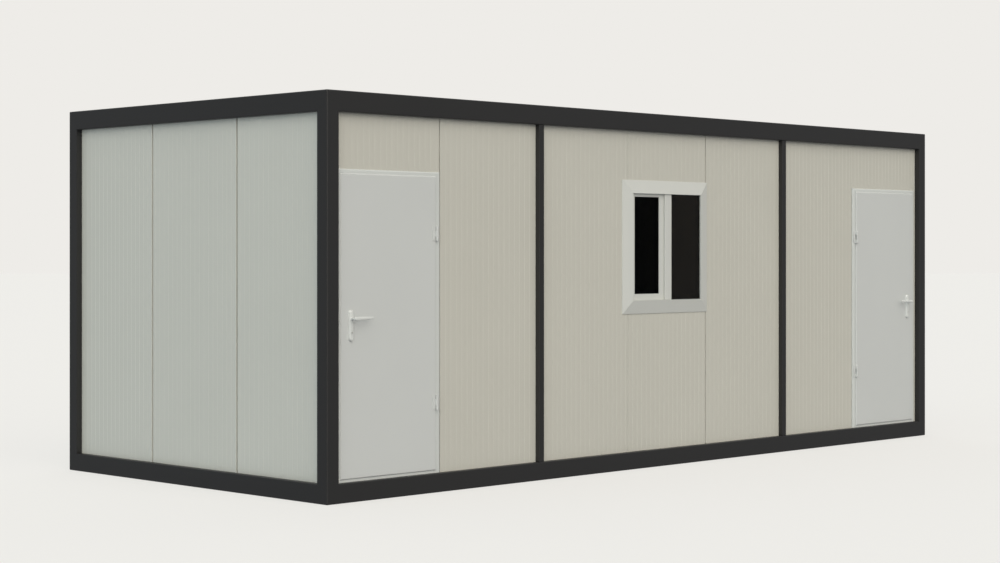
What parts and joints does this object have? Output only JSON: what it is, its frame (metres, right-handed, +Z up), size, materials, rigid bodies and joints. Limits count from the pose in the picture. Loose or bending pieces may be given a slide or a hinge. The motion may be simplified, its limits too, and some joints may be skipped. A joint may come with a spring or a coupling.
{
  "type": "portable site cabin",
  "caption": "Free-standing steel-framed site cabin with ribbed wall panels, hinged outward-opening doors with lever handles and a two-light window between them.",
  "frame": {"origin": "on the ground at the middle of the cabin's frame, seen from above", "axes": "+X along the front, to the right as seen from in front; -Y out of the front, where the doors and the window are; +Z up"},
  "size_m": [7, 3.031, 2.7],
  "materials": {
    "frame_paint": "dark grey satin paint on rolled steel",
    "panel_sheet": "cream coil-coated sheet with fine upright ribs",
    "roof_sheet": "light grey coil-coated trapezoid sheet",
    "door_frame_paint": "white powder coat",
    "door_sheet": "smooth light grey powder coat",
    "white_fittings": "white enamelled hinges and handles",
    "window_plastic": "white extruded vinyl",
    "window_glass": "clear float glass",
    "floor_board": "film-faced plywood",
    "zinc_steel": "hot-dip galvanised"
  },
  "bodies": {
    "cabin": {"base_side_beams": "frame_paint", "base_end_beams": "frame_paint", "roof_side_beams": "frame_paint", "roof_end_beams": "frame_paint", "front_left_post": "frame_paint", "front_right_post": "frame_paint", "back_left_post": "frame_paint", "back_right_post": "frame_paint", "front_mid_posts": "frame_paint", "back_mid_posts": "frame_paint", "panel_over_left_door": "panel_sheet", "panel_beside_left_door": "panel_sheet", "panel_left_of_window": "panel_sheet", "window_panel": "panel_sheet", "panel_right_of_window": "panel_sheet", "panel_beside_right_door": "panel_sheet", "panel_over_right_door": "panel_sheet", "left_wall_panels": "panel_sheet", "right_wall_panels": "panel_sheet", "back_wall_panels": "panel_sheet", "floor_deck": "floor_board", "floor_joists": "zinc_steel", "roof_panels": "roof_sheet", "left_door_frame": "door_frame_paint", "left_door_stops": "door_frame_paint", "left_hinge_posts": "white_fittings", "right_door_frame": "door_frame_paint", "right_door_stops": "door_frame_paint", "right_hinge_posts": "white_fittings", "window_casing": "window_plastic", "window_lining": "window_plastic", "window_upright": "window_plastic", "window_sash": "window_plastic", "window_sash_glass": "window_glass", "window_fixed_glass": "window_glass", "window_inside_casing": "window_plastic"},
    "left_door": {"left_door_leaf": "door_sheet", "left_hinge_flaps": "white_fittings", "left_handle_plates": "white_fittings"},
    "left_lever": {"left_door_lever": "white_fittings"},
    "right_door": {"right_door_leaf": "door_sheet", "right_hinge_flaps": "white_fittings", "right_handle_plates": "white_fittings"},
    "right_lever": {"right_door_lever": "white_fittings"}
  },
  "joints": [
    {"name": "left_door_swing", "type": "hinge", "parent": "cabin", "child": "left_door", "pos_m": [-2.4992, -1.479, 1.155], "axis": [0, 0, 1], "range_deg": [0, 110]},
    {"name": "left_lever_turn", "type": "hinge", "parent": "left_door", "child": "left_lever", "pos_m": [-3.2717, -1.4475, 1.205], "axis": [0, 1, 0], "range_deg": [0, 45], "stiffness_Nm_per_rad": 0.8, "springref_deg": -28.65},
    {"name": "right_door_swing", "type": "hinge", "parent": "cabin", "child": "right_door", "pos_m": [2.4755, -1.479, 1.155], "axis": [0, 0, -1], "range_deg": [0, 110]},
    {"name": "right_lever_turn", "type": "hinge", "parent": "right_door", "child": "right_lever", "pos_m": [3.248, -1.4475, 1.205], "axis": [0, -1, 0], "range_deg": [0, 45], "stiffness_Nm_per_rad": 0.8, "springref_deg": -28.65}
  ]
}
